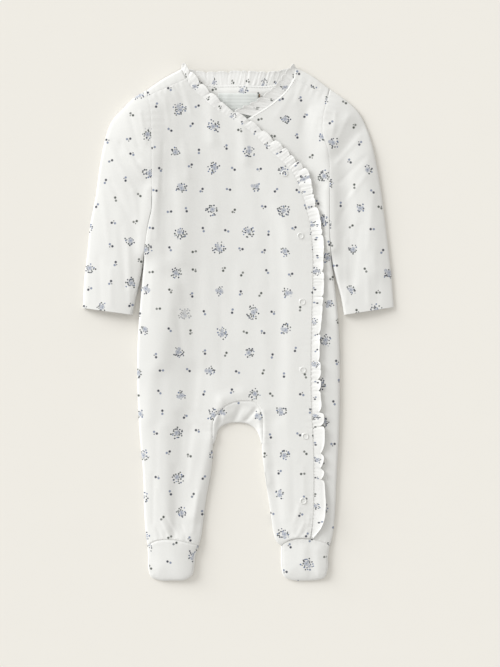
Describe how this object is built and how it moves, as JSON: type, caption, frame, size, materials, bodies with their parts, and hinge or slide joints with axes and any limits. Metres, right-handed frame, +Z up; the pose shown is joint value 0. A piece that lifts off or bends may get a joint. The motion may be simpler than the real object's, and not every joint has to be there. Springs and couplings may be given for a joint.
{
  "type": "footed baby sleepsuit",
  "caption": "Wrap-front footed baby sleepsuit in fine knit cotton with a frilled wrap edge and press fasteners, laid flat on its back.",
  "frame": {"origin": "on the surface the suit lies on, under the middle of its width and length", "axes": "+X towards the wearer's left, +Y from the feet to the neck, +Z up out of the front of the suit"},
  "size_m": [0.3582, 0.5947, 0.012],
  "materials": {
    "white_knit": "fine knit cotton, matt, with a small printed sprig",
    "frill_knit": "fine knit cotton, matt, gathered",
    "label_grey": "woven tape, plain",
    "snap_pearl": "satin white enamel ring caps"
  },
  "bodies": {
    "root": {"back_panel": "white_knit", "front_over": "white_knit", "front_under": "white_knit", "sleeve_right": "white_knit", "sleeve_left": "white_knit", "gusset": "white_knit", "vamp_right": "white_knit", "vamp_left": "white_knit", "sole_right": "white_knit", "sole_left": "white_knit", "frill_wrap": "frill_knit", "frill_under": "frill_knit", "frill_back": "frill_knit", "snap_1": "snap_pearl", "snap_2": "snap_pearl", "snap_3": "snap_pearl", "snap_4": "snap_pearl", "snap_5": "snap_pearl", "snap_6": "snap_pearl", "label": "label_grey"}
  },
  "joints": []
}
